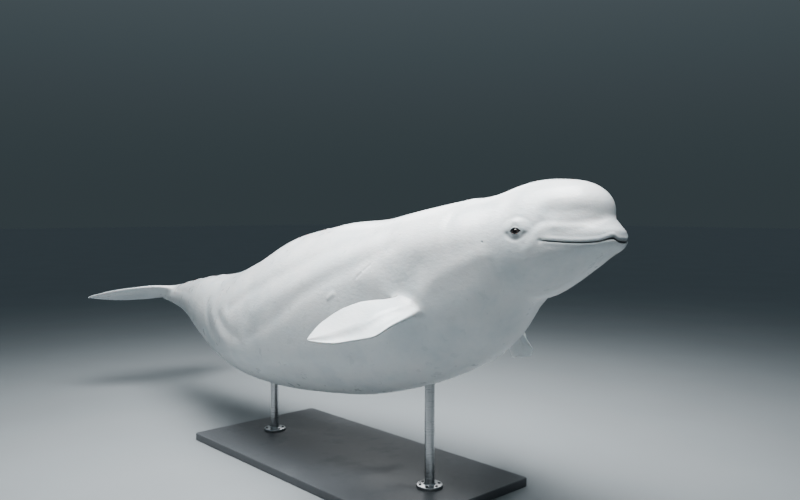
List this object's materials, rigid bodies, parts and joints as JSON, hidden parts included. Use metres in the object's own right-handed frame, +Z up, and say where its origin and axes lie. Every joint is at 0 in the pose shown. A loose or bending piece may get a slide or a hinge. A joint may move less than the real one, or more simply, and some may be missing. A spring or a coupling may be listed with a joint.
{
  "type": "beluga whale model",
  "caption": "Life-size still model of an adult beluga whale swimming in a gentle turn, white, mouth closed, held on a flat base by short steel rods.",
  "frame": {"origin": "centre of the underside of the stand's flat base, on the floor", "axes": "+X the way the whale swims, along the long side of the base; +Y to the whale's left; +Z up"},
  "size_m": [3.9765, 1.2483, 1.3955],
  "materials": {
    "skin": "smooth wet white skin with faint blue-grey mottling",
    "eye": "wet, very dark brown",
    "stand_base": "satin dark grey paint",
    "stand_rod": "brushed"
  },
  "bodies": {
    "root": {"head": "skin", "lower_jaw": "skin", "neck": "skin", "torso_front": "skin", "torso_middle": "skin", "torso_rear": "skin", "tail_stock": "skin", "flipper_left": "skin", "flipper_right": "skin", "fluke_left": "skin", "fluke_right": "skin", "eye_left": "eye", "eye_right": "eye", "stand_base": "stand_base", "stand_rod_front": "stand_rod", "stand_rod_rear": "stand_rod"}
  },
  "joints": []
}
